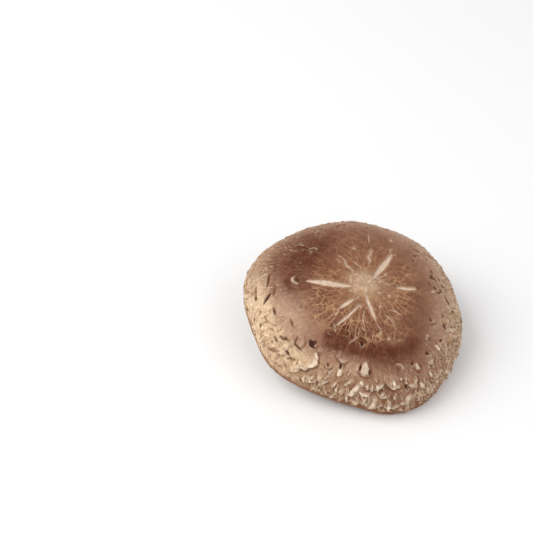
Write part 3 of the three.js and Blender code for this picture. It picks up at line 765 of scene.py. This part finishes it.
def skin_material():
    """Shiitake skin, grown and dried at the surface: a matt brown felt that shows torn cream flesh where it splits."""
    material, tree = new_tree(bpy.data.materials, "mushroom_skin")
    net, flank = (add(tree, "Attribute", {}, "Fac", attribute_name=name) for name in ("net", "flank"))
    ray = add(tree, "Attribute", {}, "Vector", attribute_name="ray")
    spot = add(tree, "TexCoord", {}, "Object")
    # Down the flank the skin is drawn into fibres about 0.6 mm wide and a few millimetres long.
    strands = add(tree, "TexNoise", {"Vector": bent_place(tree, ray, 3, 0.0009), "Scale": 1000 / 0.6, "Detail": 3})
    light = add(tree, "MapRange", [strands, 0.54, 0.72, 0.0, 0.34])
    deep = add(tree, "MapRange", [strands, 0.48, 0.30, 0.0, 0.3])
    # Curled single fibres, about 0.25 mm wide and 2 mm apart, in dashes of 1.5 mm.
    dashes = grain(tree, 1.5, 1, -0.6, 1.4)
    brown_hairs = hairs(tree, bent_place(tree, spot, 4, 0.0012), 3.4, 0.035)
    brown_dashes = add(tree, "MapRange", [dashes, 0.3, 0.7, 0.0, 0.7])
    pale_hairs = hairs(tree, bent_place(tree, ray, 4, 0.0016), 2.6, 0.03)
    pale_dashes = add(tree, "MapRange", [dashes, 0.3, 0.7, 0.5, 0.0])
    # The net: long cells that fan out from the middle, and cells of 1.5 mm to 2 mm that close it.
    branches = net_lines(tree, ray, 40, 5.8, 0.38, 0.08)
    meshes = add(tree, "Math", [net_lines(tree, ray, 66, 2.1, 0.4, 0.085), 0.6], operation="MULTIPLY")
    lines = add(tree, "Math", [branches, meshes], operation="MAXIMUM")
    lines = add(tree, "Math", [lines, net], operation="MULTIPLY")
    # The rusty brown and pit layers are partly painted shade, the dark layer has a patch of painted shadow, and the
    # lilac layer is partly a painted sheen.
    colour = painted(tree, "#7b4e39", (
        ((6, 3), "#94684f"), ("lilac_and_sheen", "#b9957b"), ("tan", "#e5c7a2"), ("dark", "#60311f"),
        (flank, light, "#d3b292"), (flank, deep, "#6d4631"), (brown_hairs, "tan", brown_dashes, "#8a5a3c"),
        (pale_hairs, flank, pale_dashes, "#e0c5a6"), (lines, 0.85, "#c1976f"), ("rust_and_shade", "#84502f"),
        ("cream", ("#dcc2ab", ((flank, "#f6e4c8"),))), ("pit", "#4d2a1e"), ("rim", 0.85, "#87583c"),
    ))
    # Mottling of 1.2 mm and of 0.45 mm, the size of the skin's fine felt, as light and dark.
    for felt in (grain(tree, 1.2, 4, 0.82, 1.16), grain(tree, 0.45, 2, 0.88, 1.12)):
        colour = add(tree, "Mix", {0: 1.0, 6: colour, 7: felt}, 2, data_type="RGBA", blend_type="MULTIPLY")
    relief = add(tree, "Math", [flank, strands], operation="MULTIPLY")
    relief = add(tree, "Math", [grain(tree, 0.5, 3, 0, 0.5), relief], operation="ADD")
    groove = add(tree, "Math", [lines, 0.8], operation="MULTIPLY")
    relief = add(tree, "Math", [relief, groove], operation="SUBTRACT")
    bump = add(tree, "Bump", {"Height": relief, "Strength": 0.5, "Distance": 0.00018})
    shader = add(tree, "BsdfPrincipled", {"Base Color": colour, "Normal": bump, "Roughness": 0.62,
                                          "Specular IOR Level": 0.2, "IOR": 1.42})
    add(tree, "OutputMaterial", {"Surface": shader})
    return material


def plain_material(name, colour, layers, roughness, bump_mm=0.0, specular=0.3):
    """A dry, matt colour with layers over it, with a bump of fibres 0.6 mm wide if one is asked for."""
    material, tree = new_tree(bpy.data.materials, name)
    inputs = {"Base Color": painted(tree, colour, layers), "Roughness": roughness, "Specular IOR Level": specular}
    if bump_mm:
        height = grain(tree, 0.6, 3, 0, 1)
        inputs["Normal"] = add(tree, "Bump", {"Height": height, "Strength": 0.4, "Distance": bump_mm / 1000})
    add(tree, "OutputMaterial", {"Surface": add(tree, "BsdfPrincipled", inputs)})
    return material


def make_cap():
    """The cap as one closed shell: displaced skin, rolled edge, inner wall and the flesh's underside."""
    rows = int(SKIN_LENGTH / SKIN_STEP)
    s = np.linspace(0, SKIN_LENGTH, rows + 1)[1:]
    az = np.linspace(-math.pi, math.pi, CAP_COLUMNS + 1)[:-1]
    S, A = (g.ravel() for g in np.meshgrid(s, az, indexing="ij"))
    f = cap_fields(S, A)
    outside = f["p"] + f["height"][:, None] * skin_normal(S, A)
    # Inner rings as radius and height: up the wall behind the rim, then in along the flesh.
    wall = CAP_RADIUS - 2 * EDGE_ROLL
    rings = [(wall + 0.35, -1.9), (wall + 0.12, -1.2), (wall + 0.05, 0.2), (wall, 1.8), (wall, 3.2)]
    rings += [(r, float(flesh_height(r))) for r in (FLESH_RADIUS, 28, 21, 12, 4)]
    inside = [polar(r * lobe(az), az, np.full(len(az), z)) for r, z in rings]
    poles = np.array([[0, 0, CROWN_HEIGHT], [0, 0, float(flesh_height(0))]])
    points = rest(np.concatenate([outside, *inside, poles]))
    hidden = len(points) - len(outside)
    masks = {name: np.concatenate([f[name], np.zeros(hidden)]) for name in SKIN_MASKS}
    masks["tan"][len(outside):] = 0.9
    masks["ray"] = np.concatenate([polar(CAP_RADIUS, A, S / RAY_SQUEEZE) / 1000, np.zeros((hidden, 3))])
    cap = make_piece("cap_skin", points, shell_faces(rows + len(rings), CAP_COLUMNS), skin_material(), masks)
    return cap, f["height"].reshape(rows, CAP_COLUMNS)


def relief_at(height, s, az):
    """Relief of the cap's grid at the nearest point to each s and az."""
    rows, columns = height.shape
    i = np.clip(np.rint(s / SKIN_LENGTH * rows).astype(int) - 1, 0, rows - 1)
    j = np.rint((az + math.pi) / (2 * math.pi) * columns).astype(int) % columns
    return height[i, j]


def make_fibrils(height):
    """Loose fibres on the flank: each runs from its root along a slowly turning heading, arched off the skin."""
    rng = np.random.default_rng(41)
    roots = np.concatenate([np.column_stack([rng.uniform(low, high, n), rng.uniform(s_low, s_high, n)])
                            for low, high, s_low, s_high, n in FIBRE_ZONES])
    count, steps = len(roots), 8
    t = np.linspace(0, 1, steps)[None, :]
    length = rng.uniform(1.0, 3.2, (count, 1))
    turn = rng.normal(0, 0.4, (count, 1)) + rng.normal(0, 0.6, (count, 1)) * t
    step = length / (steps - 1)
    s = np.minimum(roots[:, 1:] + np.cumsum(np.cos(turn) * step, axis=1), RIM_ARC)
    az = np.radians(roots[:, :1]) + np.cumsum(np.sin(turn) * step, axis=1) / FLANK_RADIUS
    az = (az + math.pi) % (2 * math.pi) - math.pi
    lift = rng.uniform(0.03, 0.2, (count, 1)) * np.sin(math.pi * (0.08 + 0.8 * t)) + 0.02
    normal = skin_normal(s, az)
    centre = skin(s, az) + (relief_at(height, s, az) + lift)[..., None] * normal
    thick = rng.uniform(0.08, 0.17, (count, 1)) * np.sin(math.pi * (0.12 + 0.82 * t)) + 0.01
    tangent = np.gradient(centre, axis=1)
    tangent /= np.linalg.norm(tangent, axis=-1, keepdims=True) + 1e-9
    side = np.cross(tangent, normal)
    side /= np.linalg.norm(side, axis=-1, keepdims=True) + 1e-9
    over = np.cross(side, tangent)
    # A fibre is a flat three-sided tube, closed at both ends.
    corners = [math.radians(a) for a in (90, 210, 330)]
    tubes = [centre + thick[..., None] * (2.0 * math.cos(a) * side + 0.9 * math.sin(a) * over) for a in corners]
    points = rest(np.stack(tubes, axis=2).reshape(count, -1, 3))
    points = points[points[..., 2].min(axis=1) > FIBRE_CLEARANCE]
    starts = np.arange(len(points))[:, None] * steps * 3
    quads = (starts[..., None] + grid_quads(steps, 3, steps - 1)[:, OUTSIDE_IN]).reshape(-1, 4)
    ends = np.concatenate([starts + [2, 1, 0], starts + (steps - 1) * 3 + [0, 1, 2]])
    # Torn fibre, dried matt: cream to tan, in patches of 2.5 mm.
    material = plain_material("mushroom_fibre", "#a07450", (((2.5, 2), "#e2c6a2"),), 0.7)
    return make_piece("cap_fibres", points.reshape(-1, 3), quads.tolist() + ends.tolist(), material)


def make_gills():
    """The gills as a pleated ring: four points across each blade, long, half and short blades in turn."""
    radii = np.linspace(*GILL_RADII, 46)
    columns = GILLS * 4
    gill = np.repeat(np.arange(GILLS), 4)
    part = np.tile([0, 1, 2, 3], GILLS)
    pitch = 2 * math.pi / GILLS
    place = np.array([0.0, 0.36, 0.5, 0.86])
    az = -math.pi + (gill + place[part]) * pitch + 0.12 * pitch * (scatter(gill, 3) - 0.5)
    is_blade = (part == 1) | (part == 2)
    kind = np.array([0, 2, 1, 2])[gill % 4]
    start = np.array([0.0, 12.5, 20.0])[kind] + 2.5 * (scatter(gill, 5) - 0.5)
    R, A = np.meshgrid(radii, az, indexing="ij")
    backing = flesh_height(np.minimum(R, CAP_RADIUS - EDGE_ROLL)) - GAP - 1.0
    grown = np.where(kind == 0, 1.0, ease(0, 5, R - start))
    depth = GILL_DEPTH * grown * (0.72 + 0.28 * ease(6, 18, R) - 0.62 * ease(28, 34.5, R))
    own = A * 0 + gill
    tooth = 0.16 * noise(np.stack([R, own * 3.7, A * 0], -1), 0.8, 71)
    sway = 0.25 * pitch * noise(np.stack([R / 7, own * 1.9, A * 0], -1), 1.0, 72) * is_blade
    low = polar(R * lobe(A + sway), A + sway, backing - is_blade * (depth + tooth * grown))
    # The backing's roof under the flesh closes the ring.
    T, B = np.meshgrid(radii[::-2], az, indexing="ij")
    loop = np.concatenate([low, polar(T * lobe(B), B, flesh_height(np.minimum(T, FLESH_RADIUS)) - GAP)])
    quads = grid_quads(len(loop), columns, len(loop))[:, OUTSIDE_IN]
    # Painted shade: darker in the gaps between the blades and on the roof under the flesh.
    deep = np.concatenate([np.where(is_blade, 0.0, 0.75) + R * 0, np.ones_like(T)])
    bruise = np.concatenate([0.75 * (1 - ease(8, 11, R)) * scatter(gill, 9) + 0.5 * ease(32, 35, R), T * 0])
    # Gill tissue, grown as thin blades: cream and matt, with painted shade in the depth between them, and tan where
    # bruised.
    layers = (((5, 3), "#f6ecdc"), ("deep", "#cdb697"), ("bruise", "#b98f63"))
    material = plain_material("mushroom_gill", "#efe3cf", layers, 0.7)
    return make_piece("gill_blades", rest(loop.reshape(-1, 3)), quads.tolist(), material,
                      {"deep": deep.ravel(), "bruise": np.clip(bruise.ravel(), 0, 1)})


def make_stem():
    """The stem: a flared, bent cylinder whose radius ripples with long fibres, cut off level at the surface."""
    columns, rows = 220, 120
    az = np.linspace(-math.pi, math.pi, columns + 1)[:-1]
    Z, A = np.meshgrid(np.linspace(float(flesh_height(0)) - GAP, STEM_END, rows), az, indexing="ij")
    radius = STEM_RADIUS + STEM_FLARE * ease(2, 9, Z) ** 2 + STEM_FOOT_SWELL * (1 - ease(-13, -4, Z))
    q = polar(5, A, Z / 7)
    fibres = 0.26 * noise(q, 1.9, 81) + 0.16 * noise(q, 0.8, 82) + 0.07 * noise(q, 0.35, 83)
    radius = radius + fibres + 0.2 * noise(polar(radius, A, Z), 4.0, 84)
    uphill = LEAN_AZIMUTH + math.pi
    placed = lean(polar(radius, A, Z) + polar(STEM_BEND * ease(-8, 14, -Z), uphill, 0 * Z))
    # Each column ends where it crosses the surface, and its rows are spread evenly down to the last one above it.
    first = np.argmax(placed[..., 2] < 0, axis=0)
    ring = np.arange(columns)
    above, under = placed[first - 1, ring], placed[first, ring]
    crossing = above + above[:, 2:] / (above[:, 2:] - under[:, 2:]) * (under - above)
    crossing[:, 2] = 0
    walls = first.min()
    spread = (first - 1) * (np.arange(walls)[:, None] / (walls - 1))
    low = np.floor(spread).astype(int)
    part = (spread - low)[..., None]
    wall = placed[low, ring] * (1 - part) + placed[np.minimum(low + 1, rows - 1), ring] * part
    # The cut's face closes it, in rings that are hollowed a little inside its edge.
    middle = crossing.mean(axis=0)
    face = [middle + share * (crossing - middle) for share in (0.985, 0.93, 0.8, 0.6, 0.4, 0.2)]
    for circle in face[2:]:
        circle[:, 2] = CUT_HOLLOW * (1 + noise(circle, 1.4, 86))
    middle[2] = CUT_HOLLOW
    top = placed[0].mean(axis=0)
    lid = [placed[0] * share + top * (1 - share) for share in (0.3, 0.7)]
    points = np.concatenate([*lid, *wall, crossing, *face, [top], [middle]])
    # Brown in patches of noise, and browner within 3.5 mm of the surface.
    brown_tint = 0.8 * np.clip(0.35 + 0.6 * noise(points, 3.3, 85), 0, 1) + 0.5 * (1 - ease(0, 3.5, points[:, 2]))
    cut, groove = np.zeros(len(points)), np.zeros(len(points))
    begin = len(lid) * columns
    end = begin + walls * columns
    groove[begin:end] = np.clip(-2.2 * fibres[low, ring], 0, 0.75).ravel()
    cut[end + columns:] = 1.0
    points[:, 2] = np.maximum(points[:, 2], 0)
    # Stem tissue, tough and trimmed with a knife: matt cream fibres with tan and brown stains, browner within 3.5 mm
    # of the surface, spongy at the cut.
    # The cut's pith has tan pores of about 1.1 mm.
    pith = ("#d2b48c", (((1.1, 3), "#efe1c8"),))
    layers = (((4, 4), "#cba67e"), ("brown_tint", "#a9764a"), ("cut", pith), ("groove", "#8a5c3c"))
    material = plain_material("mushroom_stem", "#e2cbac", layers, 0.75, 0.15)
    faces = shell_faces(len(lid) + walls + 1 + len(face), columns)
    return make_piece("stem_fibrous", points, faces, material,
                      {"brown_tint": np.clip(brown_tint, 0, 1), "cut": cut, "groove": groove})


def make_stage():
    """A plain pale floor, a large soft light at the upper left, a weak one at the right, and a pale sky."""
    # Painted board, rolled matt: a white that takes only the shadow.
    material = plain_material("white_board", "#fbfbfa", (), 0.9, specular=0.0)
    corners = 9000.0 * np.array([(-1, -1, 0), (1, -1, 0), (1, 1, 0), (-1, 1, 0)])
    board = make_piece("floor", corners, [(0, 1, 2, 3)], material)
    # Lights: name, place, size in metres, power in watts. Both aim at the middle of the mushroom.
    for name, place, size, power in (("key", (-0.66, -0.04, 0.66), 0.8, 5.6), ("fill", (0.6, -0.45, 0.6), 0.9, 1.8)):
        light = bpy.data.lights.new(name, "AREA")
        light.size = size
        light.energy = power
        lamp = new_object(name, light)
        lamp.location = place
        x, y, z = np.array(place) - np.array([0, 0, 0.015])
        lamp.rotation_euler = (math.atan2(math.hypot(x, y), z), 0, math.atan2(x, -y))
    world, tree = new_tree(bpy.data.worlds, "studio")
    sky = add(tree, "Background", {"Color": linear("#fdfdff"), "Strength": 0.62})
    add(tree, "OutputWorld", {"Surface": sky})
    bpy.context.scene.world = world
    bpy.context.scene.view_settings.view_transform = "Standard"


def make_camera():
    """The photograph's view: 42 degrees above level, looking along +Y, with the cap right of and below its middle."""
    elevation = math.radians(42)
    lens, sensor, pixels = 85.0, 36.0, 533
    mm_per_pixel = 0.36
    cap_x, cap_y = 355.03, 313.32
    up = np.array([0, math.sin(elevation), math.cos(elevation)])
    toward = np.array([0, -math.cos(elevation), math.sin(elevation)])
    right, down = (cap_x - pixels / 2) * mm_per_pixel, (cap_y - pixels / 2) * mm_per_pixel
    target = RING_CENTRE - right * np.array([1, 0, 0]) + down * up
    data = bpy.data.cameras.new("camera")
    data.lens = lens
    data.sensor_width = sensor
    data.clip_start = 0.01
    camera = new_object("camera", data)
    camera.location = (target + pixels * mm_per_pixel * lens / sensor * toward) / 1000
    camera.rotation_euler = (math.pi / 2 - elevation, 0, 0)
    bpy.context.scene.camera = camera


make_camera()
make_stage()
cap, cap_relief = make_cap()
fibrils = make_fibrils(cap_relief)
gills = make_gills()
stem = make_stem()
for piece, slot in ((cap, "cap_skin"), (fibrils, "cap_skin"), (gills, "gill_tissue"), (stem, "stem_tissue")):
    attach(piece, "root")
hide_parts("cap")
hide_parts("gills")
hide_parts("stem")
